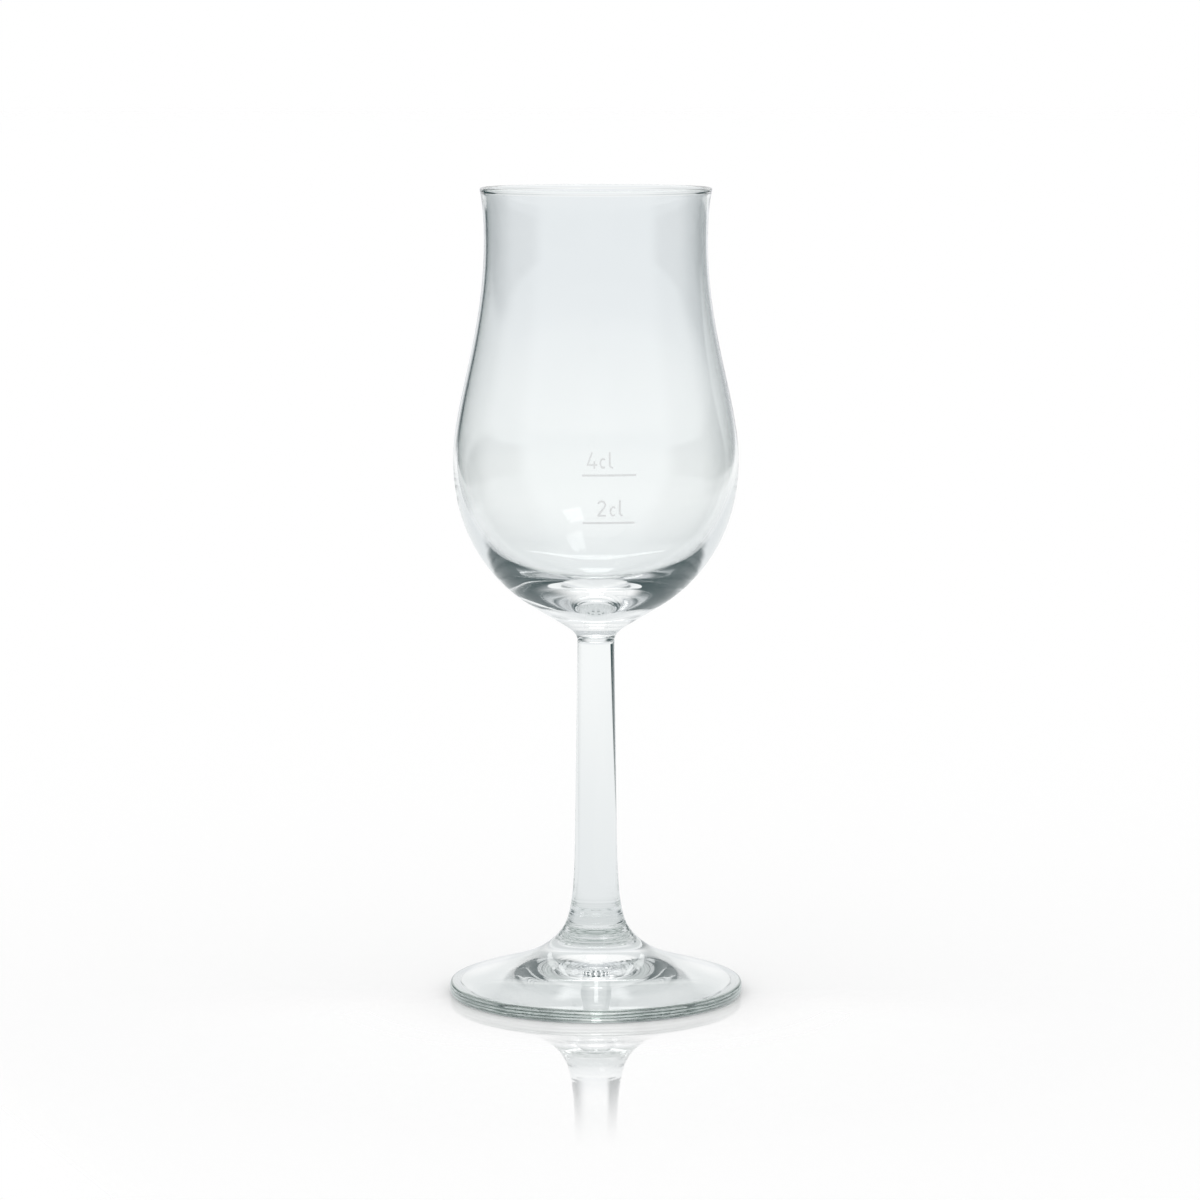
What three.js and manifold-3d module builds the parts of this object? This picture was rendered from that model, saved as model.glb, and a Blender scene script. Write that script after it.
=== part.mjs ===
// Whisky nosing glass: a blown tulip bowl, a drawn stem and a pressed foot, fused end to end,
// with two fired enamel fill lines and their characters on the bowl.
// Millimetres, +Z up. The glass stands on z = 0, its axis is the Z axis, and its marks face -Y.

import Module from "manifold-3d";
import * as THREE from "three";
import { mergeVertices } from "three/addons/utils/BufferGeometryUtils.js";

const kernel = await Module();
kernel.setup();

// Foot
const FOOT_RADIUS = 28.9; // at the widest point of the edge
const FOOT_HEIGHT = 14; // from the table to the weld with the stem
const EDGE_HEIGHT = 1.2; // height of that widest point
const SHOULDER_INSET = 0.7; // from the widest point in to the shoulder, where the edge meets the top
const SHOULDER_HEIGHT = 2.65;
const SHOULDER_SLOPE = 0.37; // fall of the top over its run, at the shoulder
const SHOULDER_REACH = 7.5; // how far in the top keeps that slope's pull
const EDGE_ROUND = 0.8; // softness of the edge above its widest point
const HEEL_INSET = 0.9; // from the widest point in to the flat ring that rests on the table
const HEEL_ROUND = 0.6; // softness of the edge below its widest point
const REST_RING_WIDTH = 2;
const HOLLOW_HEIGHT = 5; // rise of the underside, at the axis
const HOLLOW_CROWN = 6; // pull of the underside's level crown
const HOLLOW_ANGLE = THREE.MathUtils.degToRad(15); // of the underside's cone, from the horizontal
const HOLLOW_REACH = 11; // pull of that cone, from the resting ring inwards

// Stem
const STEM_LENGTH = 56.4; // between its two welds
const STEM_TOP_RADIUS = 3.64;
const STEM_WAIST_RADIUS = 4.13; // where the straight taper ends and the flare begins
const STEM_FOOT_RADIUS = 6.03; // at the weld with the foot
const FLARE_LENGTH = 18.2; // from the waist down to that weld
const FLARE_ANGLE = THREE.MathUtils.degToRad(25.2); // from the vertical, at that weld
const FLARE_START = 8.5; // pull of the taper on the flare
const FLARE_END = 3.6; // pull of the weld's angle on the flare
const BOSS_PULL = 7.85; // pull of the same angle on the foot below

// Bowl, with heights measured up from its weld with the stem
const BOWL_HEIGHT = 88.6;
const BELLY_WALL = 0.95; // thickness of the wall at the belly
const THROAT_WALL = 0.65; // thickness of the wall at the throat and under the lip
const RIM_RADIUS = 22.55;
const LIP_WIDTH = 0.9; // across the round bead that fire polishing leaves on the lip
const LIP_HEIGHT = 1.1; // from the rim's crest down to the plain wall under that bead
const RIM_FLARE_RUN = 0.78; // inward pull of the flare under the lip
const RIM_FLARE_DROP = 3.56; // downward pull of the same flare
const THROAT_RADIUS = 21.75;
const THROAT_DROP = 10.4; // from the rim's crest down to the narrowest place
const THROAT_PULL_UP = 2.3;
const THROAT_PULL_DOWN = 18.1;
const BELLY_RADIUS = 27.9;
const BELLY_HEIGHT = 35.55;
const BELLY_PULL_UP = 11.4;
const BELLY_PULL_DOWN = 18.8;
const BASE_RADIUS = 13.25; // on the straight cone between the round belly and the neck
const BASE_HEIGHT = 7.35;
const BASE_ANGLE = THREE.MathUtils.degToRad(32.6); // of that cone, from the horizontal
const BASE_PULL_OUT = 2.9;
const BASE_PULL_IN = 7.8;
const NECK_PULL = 2.2; // softness of the neck above the weld
const FLOOR_THICKNESS = 8.6; // solid glass between the weld and the inside
const FLOOR_FLAT = 2.8; // pull of the inside's level middle
const TURN_RADIUS = 17.8; // on the inside, where its side turns into its floor
const TURN_HEIGHT = 15.2;
const TURN_ANGLE = THREE.MathUtils.degToRad(38); // of the inside there, from the horizontal
const TURN_PULL_IN = 6.6; // pull of that angle on the floor
const TURN_PULL_UP = 6; // pull of the same angle on the side
const SIDE_PULL = 8.6; // downward pull of the belly on the inside's side

// Enamel marks
const UPPER_FILL = 40; // millilitres up to the upper line
const LOWER_FILL = 20; // millilitres up to the lower line
const LINE_LENGTH = 10.3;
const LINE_START = -2.6; // along the bowl, from the middle of its front
const LINE_WIDTH = 0.36;
const UPPER_TEXT_START = -1.7;
const LOWER_TEXT_START = 0.3;
const TEXT_RISE = 1.1; // from the line up to the characters
const FIGURE_HEIGHT = 3.1;
const FIGURE_WIDTH = 2;
const FOUR_BAR = 0.23; // height of the four's bar, as a share of the figure
const FOUR_POST = 0.24; // rise of its post above the bar
const FOUR_POST_PLACE = 0.72; // place of its post along the bar
const FOUR_TOP = 0.5; // place of its top along the bar
const TWO_BEND = 0.42; // radius of the two's round top, as a share of the figure's width
const LETTER_HEIGHT = 2; // of the round letter
const LETTER_WIDTH = 1.4;
const LETTER_CURL = 0.8; // radius of the tall letter's foot
const LETTER_GAP = 0.4;
const STROKE = 0.32;
const ENAMEL_THICKNESS = 0.12;
const ENAMEL_LIFT = 0.06; // clearance between the glass's facets and the enamel

// Fineness of the round shapes
const AROUND_BOWL = 60;
const AROUND_STEM = 36;
const LINE_STEPS = 14;
const ARC_PULL = 0.5523; // pull that bends a cubic stretch into a quarter of a circle, for a radius of one

// Heights above the table
const footWeld = FOOT_HEIGHT;
const bowlWeld = footWeld + STEM_LENGTH;
const rimCrest = bowlWeld + BOWL_HEIGHT;
const throat = rimCrest - THROAT_DROP;
const belly = bowlWeld + BELLY_HEIGHT;
const floorHeight = bowlWeld + FLOOR_THICKNESS;

const point = (radius, height) => new THREE.Vector2(radius, height);

// One stretch of an outline: from start to end, leaving towards one pull and arriving from the other.
function stretch(start, leaving, arriving, end) {
  return new THREE.CubicBezierCurve(start, start.clone().add(leaving), end.clone().add(arriving), end);
}

// Joins stretches into one list of points. Each stretch comes with its number of steps.
function outline(...stretches) {
  const points = [];
  for (const [curve, steps] of stretches) {
    const drawn = curve.getPoints(steps);
    if (points.length > 0) drawn.shift();
    points.push(...drawn);
  }
  return points;
}

// A solid of revolution about the Z axis. Its outline runs up the outside, from the axis to the axis.
function turned(points, around) {
  const geometry = new THREE.LatheGeometry(points, around);
  geometry.rotateX(Math.PI / 2);
  return geometry;
}

const glass = () => new THREE.MeshStandardMaterial({
  color: 0xf2f6f5,
  roughness: 0.02,
  metalness: 0,
  transparent: true,
  opacity: 0.35,
});

const enamel = () => new THREE.MeshStandardMaterial({
  color: 0xdfe2e1,
  roughness: 0.55,
  metalness: 0,
});

const nosingGlass = new THREE.Group();

function add(name, geometry, material) {
  const mesh = new THREE.Mesh(geometry, material);
  mesh.name = name;
  nosingGlass.add(mesh);
}

// Foot: a round-edged disc that rises to a boss, hollow underneath, with a flat ring to stand on.

function footOutline() {
  const heelRadius = FOOT_RADIUS - HEEL_INSET;
  const hollowRadius = heelRadius - REST_RING_WIDTH;
  const crown = point(0, HOLLOW_HEIGHT);
  const ringInside = point(hollowRadius, 0);
  const heel = point(heelRadius, 0);
  const widest = point(FOOT_RADIUS, EDGE_HEIGHT);
  const shoulder = point(FOOT_RADIUS - SHOULDER_INSET, SHOULDER_HEIGHT);
  const weld = point(STEM_FOOT_RADIUS, footWeld);
  const coneRun = HOLLOW_REACH * Math.cos(HOLLOW_ANGLE);
  const coneRise = HOLLOW_REACH * Math.sin(HOLLOW_ANGLE);
  const topFall = SHOULDER_SLOPE * EDGE_ROUND;
  const bossOut = BOSS_PULL * Math.sin(FLARE_ANGLE);
  const bossDown = BOSS_PULL * Math.cos(FLARE_ANGLE);
  const topRise = SHOULDER_SLOPE * SHOULDER_REACH;
  return outline(
    [stretch(crown, point(HOLLOW_CROWN, 0), point(-coneRun, coneRise), ringInside), 10],
    [new THREE.LineCurve(ringInside, heel), 1],
    [stretch(heel, point(HEEL_ROUND, 0), point(0, -HEEL_ROUND), widest), 4],
    [stretch(widest, point(0, EDGE_ROUND), point(EDGE_ROUND, -topFall), shoulder), 4],
    [stretch(shoulder, point(-SHOULDER_REACH, topRise), point(bossOut, -bossDown), weld), 18],
    [new THREE.LineCurve(weld, point(0, footWeld)), 1],
  );
}

add("foot", turned(footOutline(), AROUND_BOWL), glass());

// Stem: a straight taper that flares towards the foot.

function stemOutline() {
  const bottom = point(STEM_FOOT_RADIUS, footWeld);
  const waist = point(STEM_WAIST_RADIUS, footWeld + FLARE_LENGTH);
  const top = point(STEM_TOP_RADIUS, bowlWeld);
  const taper = (STEM_WAIST_RADIUS - STEM_TOP_RADIUS) / (STEM_LENGTH - FLARE_LENGTH);
  const flareIn = -FLARE_END * Math.sin(FLARE_ANGLE);
  const flareUp = FLARE_END * Math.cos(FLARE_ANGLE);
  return outline(
    [new THREE.LineCurve(point(0, footWeld), bottom), 1],
    [stretch(bottom, point(flareIn, flareUp), point(taper * FLARE_START, -FLARE_START), waist), 12],
    [new THREE.LineCurve(waist, top), 3],
    [new THREE.LineCurve(top, point(0, bowlWeld)), 1],
  );
}

add("stem", turned(stemOutline(), AROUND_STEM), glass());

// Bowl: a thin wall from the beaded lip to the belly, thickening to a solid base below it.

const lipRound = LIP_WIDTH / 2;
const lip = point(RIM_RADIUS, rimCrest - lipRound);
const narrow = point(THROAT_RADIUS, throat);
const wide = point(BELLY_RADIUS, belly);
const base = point(BASE_RADIUS, bowlWeld + BASE_HEIGHT);
const innerNarrow = point(THROAT_RADIUS - THROAT_WALL, throat);
const innerWide = point(BELLY_RADIUS - BELLY_WALL, belly);

// The wall's two faces between the lip and the belly are alike and draw together towards the throat.
function upperBowl(top, middle, bottom) {
  const flare = stretch(
    top,
    point(-RIM_FLARE_RUN, -RIM_FLARE_DROP),
    point(0, THROAT_PULL_UP),
    middle,
  );
  const body = stretch(
    middle,
    point(0, -THROAT_PULL_DOWN),
    point(0, BELLY_PULL_UP),
    bottom,
  );
  return { flare, body };
}

// The same curve, drawn from its other end.
function reversed(curve) {
  return new THREE.CubicBezierCurve(curve.v3, curve.v2, curve.v1, curve.v0);
}

// The plain wall under the lip's bead, on the line of the flare.
const flareLean = RIM_FLARE_RUN / RIM_FLARE_DROP;
const underLip = point(
  RIM_RADIUS - flareLean * (LIP_HEIGHT - lipRound) - THROAT_WALL,
  rimCrest - LIP_HEIGHT,
);
const outside = upperBowl(lip, narrow, wide);
const inside = upperBowl(underLip, innerNarrow, innerWide);
const baseOut = Math.cos(BASE_ANGLE);
const baseUp = Math.sin(BASE_ANGLE);
const neck = stretch(
  point(STEM_TOP_RADIUS, bowlWeld),
  point(0, NECK_PULL),
  point(-BASE_PULL_IN * baseOut, -BASE_PULL_IN * baseUp),
  base,
);
const lowerBowl = stretch(
  base,
  point(BASE_PULL_OUT * baseOut, BASE_PULL_OUT * baseUp),
  point(0, -BELLY_PULL_DOWN),
  wide,
);
const turn = point(TURN_RADIUS, bowlWeld + TURN_HEIGHT);
const turnOut = Math.cos(TURN_ANGLE);
const turnUp = Math.sin(TURN_ANGLE);
const insideSide = stretch(
  innerWide,
  point(0, -SIDE_PULL),
  point(TURN_PULL_UP * turnOut, TURN_PULL_UP * turnUp),
  turn,
);
const insideFloor = stretch(
  turn,
  point(-TURN_PULL_IN * turnOut, -TURN_PULL_IN * turnUp),
  point(FLOOR_FLAT, 0),
  point(0, floorHeight),
);

function bowlOutline() {
  const crest = point(RIM_RADIUS - lipRound, rimCrest);
  const innerLip = point(RIM_RADIUS - LIP_WIDTH, lip.y);
  const arc = ARC_PULL * lipRound;
  const bead = (LIP_HEIGHT - lipRound) / 3;
  const outerRound = stretch(lip, point(0, arc), point(arc, 0), crest);
  const innerRound = stretch(crest, point(-arc, 0), point(0, arc), innerLip);
  const beadFoot = stretch(innerLip, point(0, -bead), point(flareLean * bead, bead), underLip);
  return outline(
    [new THREE.LineCurve(point(0, bowlWeld), neck.v0), 1],
    [neck, 7],
    [lowerBowl, 12],
    [reversed(outside.body), 9],
    [reversed(outside.flare), 4],
    [outerRound, 3],
    [innerRound, 3],
    [beadFoot, 2],
    [inside.flare, 4],
    [inside.body, 9],
    [insideSide, 8],
    [insideFloor, 9],
  );
}

add("bowl", turned(bowlOutline(), AROUND_BOWL), glass());

// Enamel marks: flat shapes laid round the front of the bowl. The lines stand where the inside,
// filled up to them, holds its stated measure.

function fillHeight(millilitres) {
  const bottom = [...reversed(insideFloor).getPoints(200), ...reversed(insideSide).getPoints(200)];
  const points = [...bottom, ...reversed(inside.body).getPoints(200)];
  let filled = 0;
  for (let i = 1; i < points.length; i += 1) {
    const low = points[i - 1];
    const high = points[i];
    const area = Math.PI * (low.x ** 2 + low.x * high.x + high.x ** 2) / 3;
    const slice = area * (high.y - low.y) / 1000;
    if (filled + slice >= millilitres) {
      return low.y + (high.y - low.y) * (millilitres - filled) / slice;
    }
    filled += slice;
  }
  return rimCrest;
}

// The bowl's outside radius at a height near its belly.
const outsidePoints = [...lowerBowl.getPoints(200), ...reversed(outside.body).getPoints(200)];

function bowlRadiusAt(height) {
  const above = Math.max(1, outsidePoints.findIndex((place) => place.y > height));
  const low = outsidePoints[above - 1];
  const high = outsidePoints[above];
  return low.x + (high.x - low.x) * (height - low.y) / (high.y - low.y);
}

// Lays a flat shape on the bowl: its X runs round the front, its Y up and its Z out of the glass.
function laid(flat, start, height) {
  const places = flat.attributes.position;
  for (let i = 0; i < places.count; i += 1) {
    const level = height + places.getY(i);
    const turn = (start + places.getX(i)) / BELLY_RADIUS;
    const radius = bowlRadiusAt(level) + ENAMEL_LIFT + places.getZ(i);
    places.setXYZ(i, radius * Math.sin(turn), -radius * Math.cos(turn), level);
  }
  flat.computeVertexNormals();
  return flat;
}

function thick(shape) {
  return new THREE.ExtrudeGeometry(shape, {
    depth: ENAMEL_THICKNESS,
    bevelEnabled: false,
    curveSegments: 12,
  });
}

function fillLine() {
  const flat = new THREE.BoxGeometry(LINE_LENGTH, LINE_WIDTH, ENAMEL_THICKNESS, LINE_STEPS, 1, 1);
  return flat.translate(LINE_LENGTH / 2, 0, ENAMEL_THICKNESS / 2);
}

// A straight stroke between two places on its middle line.
function straightStroke(x1, y1, x2, y2) {
  const length = Math.hypot(x2 - x1, y2 - y1);
  const stroke = new THREE.BoxGeometry(length, STROKE, ENAMEL_THICKNESS);
  stroke.rotateZ(Math.atan2(y2 - y1, x2 - x1));
  return stroke.translate((x1 + x2) / 2, (y1 + y2) / 2, ENAMEL_THICKNESS / 2);
}

function solidOf(geometry) {
  geometry.deleteAttribute("normal");
  geometry.deleteAttribute("uv");
  const welded = mergeVertices(geometry);
  return new kernel.Manifold(new kernel.Mesh({
    numProp: 3,
    vertProperties: Float32Array.from(welded.attributes.position.array),
    triVerts: Uint32Array.from(welded.index.array),
  }));
}

function joined(first, ...others) {
  const solid = others.reduce((sum, next) => sum.add(solidOf(next)), solidOf(first));
  const mesh = solid.getMesh();
  const geometry = new THREE.BufferGeometry();
  geometry.setAttribute("position", new THREE.Float32BufferAttribute(mesh.vertProperties, 3));
  geometry.setIndex(Array.from(mesh.triVerts));
  return geometry;
}

// The open four: a slanted stroke, a bar and a short post across the bar.
function figureFour() {
  const half = STROKE / 2;
  const right = FIGURE_WIDTH;
  const barHeight = FIGURE_HEIGHT * FOUR_BAR;
  const postTop = barHeight + FIGURE_HEIGHT * FOUR_POST;
  const postPlace = right * FOUR_POST_PLACE;
  return joined(
    straightStroke(half, barHeight, right * FOUR_TOP, FIGURE_HEIGHT),
    straightStroke(0, barHeight, right, barHeight),
    straightStroke(postPlace, 0, postPlace, postTop),
  );
}

function figureTwo() {
  const radius = FIGURE_WIDTH * TWO_BEND;
  const inner = radius - STROKE;
  const middle = point(radius, FIGURE_HEIGHT - radius);
  const begin = THREE.MathUtils.degToRad(165);
  const end = THREE.MathUtils.degToRad(-38);
  const width = 2 * radius;
  const shape = new THREE.Shape();
  shape.absarc(middle.x, middle.y, radius, begin, end, true);
  shape.lineTo(STROKE * 1.6, STROKE);
  shape.lineTo(width, STROKE);
  shape.lineTo(width, 0);
  shape.lineTo(0, 0);
  shape.lineTo(0, STROKE * 0.9);
  shape.lineTo(middle.x + inner * Math.cos(end), middle.y + inner * Math.sin(end));
  shape.absarc(middle.x, middle.y, inner, end, begin, false);
  shape.closePath();
  return thick(shape);
}

function letterC() {
  const wide = LETTER_WIDTH / 2;
  const tall = LETTER_HEIGHT / 2;
  const begin = THREE.MathUtils.degToRad(52);
  const end = THREE.MathUtils.degToRad(308);
  const shape = new THREE.Shape();
  shape.absellipse(wide, tall, wide, tall, begin, end, false);
  shape.absellipse(wide, tall, wide - STROKE, tall - STROKE, end, begin, true);
  shape.closePath();
  return thick(shape);
}

// The tall letter ends in a short curl.
function letterL() {
  const outer = LETTER_CURL;
  const inner = outer - STROKE;
  const shape = new THREE.Shape();
  shape.moveTo(0, FIGURE_HEIGHT);
  shape.lineTo(0, outer);
  shape.absarc(outer, outer, outer, Math.PI, Math.PI * 1.5, false);
  shape.lineTo(outer, STROKE);
  shape.absarc(outer, outer, inner, Math.PI * 1.5, Math.PI, true);
  shape.lineTo(STROKE, FIGURE_HEIGHT);
  shape.closePath();
  return thick(shape);
}

function addMark(measure, figure, textStart, tier, level) {
  const textHeight = level + LINE_WIDTH / 2 + TEXT_RISE;
  const cStart = textStart + FIGURE_WIDTH + LETTER_GAP;
  const lStart = cStart + LETTER_WIDTH + LETTER_GAP;
  add(`fill_line_${measure}cl`, laid(fillLine(), LINE_START, level), enamel());
  add(`figure_${measure}`, laid(figure, textStart, textHeight), enamel());
  add(`letter_c_${tier}`, laid(letterC(), cStart, textHeight), enamel());
  add(`letter_l_${tier}`, laid(letterL(), lStart, textHeight), enamel());
}

addMark(4, figureFour(), UPPER_TEXT_START, "upper", fillHeight(UPPER_FILL));
addMark(2, figureTwo(), LOWER_TEXT_START, "lower", fillHeight(LOWER_FILL));

export default nosingGlass;
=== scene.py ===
# %% [markdown]
# # A whisky nosing glass
# A small stemmed glass with a tulip bowl. A glassmaker blows the bowl, draws the stem out of a second gather and
# presses the foot, and the three are fused while they are hot. Two fill lines with their figures are then fired on as
# enamel. The CAD model holds the true sizes. This lesson dresses it: each turned piece is worked out again as a smooth
# surface, because clear glass shows every facet, and a studio is built round it, because clear glass shows little but
# its surroundings.

import math

import bpy
import numpy as np
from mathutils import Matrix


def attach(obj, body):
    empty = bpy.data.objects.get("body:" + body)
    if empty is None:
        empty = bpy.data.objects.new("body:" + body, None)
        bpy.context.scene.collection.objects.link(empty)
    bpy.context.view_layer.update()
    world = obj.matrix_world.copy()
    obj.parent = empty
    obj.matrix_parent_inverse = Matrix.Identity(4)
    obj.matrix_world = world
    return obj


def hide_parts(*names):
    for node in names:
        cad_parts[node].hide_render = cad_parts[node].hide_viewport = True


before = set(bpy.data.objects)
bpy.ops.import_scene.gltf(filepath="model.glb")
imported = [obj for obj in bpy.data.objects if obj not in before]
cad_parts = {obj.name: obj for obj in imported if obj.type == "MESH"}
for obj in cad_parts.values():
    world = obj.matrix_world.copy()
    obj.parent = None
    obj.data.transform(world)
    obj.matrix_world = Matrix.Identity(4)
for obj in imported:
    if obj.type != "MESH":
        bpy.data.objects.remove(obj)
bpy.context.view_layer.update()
MM = 0.001
print("CAD nodes:", sorted(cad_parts))

# %% [markdown]
# ## Camera
# The photograph looks a little down on the glass with a long lens: the rim is a thin ellipse and the foot a wider one.
# The width of those two ellipses gives the height and the tilt of the camera, and the ratio of the widths of foot and
# rim gives its distance. The lens follows from the size of the glass in the picture.

# %% Camera
CAMERA_SIDE = 0.8 * MM
CAMERA_DISTANCE = 838.3 * MM
CAMERA_HEIGHT = 184.63 * MM
CAMERA_TILT = math.radians(7.225)
LENS, SENSOR_WIDTH = 129.2, 36.0

camera_data = bpy.data.cameras.new("camera")
camera_data.lens = LENS
camera_data.sensor_width = SENSOR_WIDTH
camera = bpy.data.objects.new("camera", camera_data)
camera.location = (CAMERA_SIDE, -CAMERA_DISTANCE, CAMERA_HEIGHT)
camera.rotation_euler = (math.pi / 2 - CAMERA_TILT, 0.0, 0.0)
bpy.context.scene.collection.objects.link(camera)
bpy.context.scene.camera = camera
bpy.context.scene.view_settings.view_transform = "Standard"
print("camera", [round(v, 4) for v in camera.location], "lens", LENS)

# %% [markdown]
# ## Small helpers for nodes
# Worlds and materials are both trees of nodes, and long runs of sums are easier to read as calls than as pairs of
# sockets. These helpers add a node, fill its inputs with numbers or links, and hand back what comes out.


# %% Node helpers
def add_node(tree, kind, inputs=None, **settings):
    """One node: settings are its own properties, inputs maps a socket's name or number to a value or a socket."""
    node = tree.nodes.new(kind)
    for name, value in settings.items():
        setattr(node, name, value)
    for key, value in (inputs or {}).items():
        if isinstance(value, bpy.types.NodeSocket):
            tree.links.new(value, node.inputs[key])
        else:
            node.inputs[key].default_value = value
    return node


def calc(tree, operation, first, second=0.0):
    """One sum on values."""
    node = add_node(tree, "ShaderNodeMath", {0: first, 1: second}, operation=operation)
    return node.outputs[0]


def times(tree, first, second):
    """One value times another."""
    return calc(tree, "MULTIPLY", first, second)


def fade(tree, value, start, end, low=0.0, high=1.0):
    """A soft step from low at start to high at end."""
    inputs = {"Value": value, "From Min": start, "From Max": end, "To Min": low, "To Max": high}
    return add_node(tree, "ShaderNodeMapRange", inputs, interpolation_type="SMOOTHSTEP").outputs["Result"]


def band(tree, value, low, high, soft):
    """One between low and high with edges twice soft wide, nought outside."""
    rising = fade(tree, value, low - soft, low + soft)
    falling = fade(tree, value, high - soft, high + soft, 1.0, 0.0)
    return times(tree, rising, falling)


def choose(tree, share, first, second):
    """The first value where share is nought, the second where it is one."""
    node = add_node(tree, "ShaderNodeMix", {0: share, 2: first, 3: second}, data_type="FLOAT")
    return node.outputs[0]


def mix_colour(tree, share, first, second):
    """The first colour where share is nought, the second where it is one."""
    node = add_node(tree, "ShaderNodeMix", {0: share, 6: first, 7: second}, data_type="RGBA")
    return node.outputs[2]


def degrees(*angles):
    """Angles in degrees, ready for the sums."""
    return [math.radians(a) for a in angles]


def mm(*lengths):
    """Lengths in millimetres, ready for the sums."""
    return [v * MM for v in lengths]


print("node helpers ready")

# %% [markdown]
# ## Studio
# Product photographers light clear glass from behind: a white sheet fills the view, and dark cards at the sides put a
# dark line on every edge, because the edge of a thick glass bends the view far to one side. Planes and area lamps could
# stand for that, but it is far away and soft, so it is drawn in the world, by direction. A direction is told in two
# ways: as two angles for what stands around the glass, and as a place on the ceiling for what hangs over it.


# %% Directions
def look_direction(tree):
    """Which way a ray goes. Turn is its angle from straight behind the glass towards the left, away is the same to
    either side and rise is its height. Across and back are x and y over z, a place on a ceiling."""
    direction = add_node(tree, "ShaderNodeTexCoord").outputs["Generated"]
    axes = add_node(tree, "ShaderNodeSeparateXYZ", {0: direction}).outputs
    turn = calc(tree, "ARCTAN2", times(tree, axes["X"], -1.0), axes["Y"])
    return {
        "turn": turn,
        "away": calc(tree, "ABSOLUTE", turn),
        "rise": calc(tree, "ARCSINE", axes["Z"]),
        "across": calc(tree, "DIVIDE", axes["X"], axes["Z"]),
        "back": calc(tree, "DIVIDE", axes["Y"], axes["Z"]),
    }


print("directions ready")

# %% [markdown]
# ## Sheet, cards and room
# The sheet is white, with a faint grey seam where it meets the table, and a dimmer band higher up that shows only
# through the glass. A card stands at each side of it. Past the cards the room is a pale grey, paler still near the
# floor, and the ceiling is a darker grey that turns white over the sheet. How far a card reaches depends on how the
# glass turned the ray on its way: rays mirrored inside the thick base meet more of it, which fills the dark crescent
# there. A painted picture of a studio would do too, but soft steps between a few colours keep each edge a number that
# can be moved.

# %% Sheet, cards and room
WHITE = (1.0, 1.0, 1.0, 1.0)
SHEET_SEAM, SEAM_FOOT, SEAM_TOP = (0.848, 0.865, 0.888, 1.0), (-6.5, -3.0), (9.0, 2.0)
SHEET_HIGH, HIGH_RISE = (0.76, 0.785, 0.79, 1.0), (11.0, 24.0, 3.0)
CARD = (0.003, 0.034, 0.038, 1.0)
CARD_LEAN = 0.4
LEFT_CARD, RIGHT_CARD_SOFT, RIGHT_CARD_FIRM = (14.0, 27.0), (-14.0, -46.0), (-14.0, -27.0)
CARD_END, CARD_REACH = (68.0, 88.0), 37.0
REACH_RISE, LOW_REACH_RISE, ANY_MIRROR = (3.0, 7.0), (-14.0, -8.0), 0.5
ROOM = (0.74, 0.77, 0.785, 1.0)
ROOM_LOW, LOW_RISE, LOW_AWAY = (0.90, 0.915, 0.92, 1.0), (-13.0, -19.0), (25.0, 45.0)
CEILING, CEILING_RISE, CEILING_AWAY = (0.55, 0.58, 0.60, 1.0), (35.0, 65.0), (25.0, 50.0)


def sheet_colour(tree, look, path):
    """White, with the seam low down and, for bent rays only, the dimmer band above it."""
    rise = look["rise"]
    seam = times(tree, fade(tree, rise, *degrees(*SEAM_FOOT)), fade(tree, rise, *degrees(*SEAM_TOP)))
    sheet = mix_colour(tree, seam, WHITE, SHEET_SEAM)
    high = times(tree, band(tree, rise, *degrees(*HIGH_RISE)), path["Is Transmission Ray"])
    return mix_colour(tree, high, sheet, SHEET_HIGH)


def card_share(tree, look, path):
    """One from a card's inner edge on. The left edge leans with height. The right edge is soft and upright for bent
    rays, and firm and leaning for mirrored ones."""
    turn = look["turn"]
    lean = times(tree, look["rise"], CARD_LEAN)
    left = fade(tree, calc(tree, "SUBTRACT", turn, lean), *degrees(*LEFT_CARD))
    soft = fade(tree, turn, *degrees(*RIGHT_CARD_SOFT))
    firm = fade(tree, calc(tree, "ADD", turn, lean), *degrees(*RIGHT_CARD_FIRM))
    right = choose(tree, path["Is Transmission Ray"], firm, soft)
    return calc(tree, "ADD", left, right)


def room_share(tree, look, path):
    """One past the cards' outer ends. For bent rays a card reaches further round above the level, and below it as well
    if the ray was mirrored inside the glass."""
    mirrored = calc(tree, "GREATER_THAN", path["Glossy Depth"], ANY_MIRROR)
    low_reach = fade(tree, look["rise"], *degrees(*LOW_REACH_RISE, 0.0, CARD_REACH))
    high_reach = fade(tree, look["rise"], *degrees(*REACH_RISE, 0.0, CARD_REACH))
    reach = calc(tree, "MAXIMUM", high_reach, times(tree, low_reach, mirrored))
    further = times(tree, reach, path["Is Transmission Ray"])
    return fade(tree, calc(tree, "SUBTRACT", look["away"], further), *degrees(*CARD_END))


def studio_colour(tree, look, path):
    """Sheet, cards, room and ceiling, each laid over the one before."""
    rise, away = look["rise"], look["away"]
    sides = mix_colour(tree, card_share(tree, look, path), sheet_colour(tree, look, path), CARD)
    around = mix_colour(tree, room_share(tree, look, path), sides, ROOM)
    low = times(tree, fade(tree, rise, *degrees(*LOW_RISE)), fade(tree, away, *degrees(*LOW_AWAY)))
    around = mix_colour(tree, low, around, ROOM_LOW)
    ceiling = mix_colour(tree, fade(tree, away, *degrees(*CEILING_AWAY)), WHITE, CEILING)
    return mix_colour(tree, fade(tree, rise, *degrees(*CEILING_RISE)), around, ceiling)


print("cards from", LEFT_CARD[0], "to", CARD_END[1], "degrees")

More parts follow.
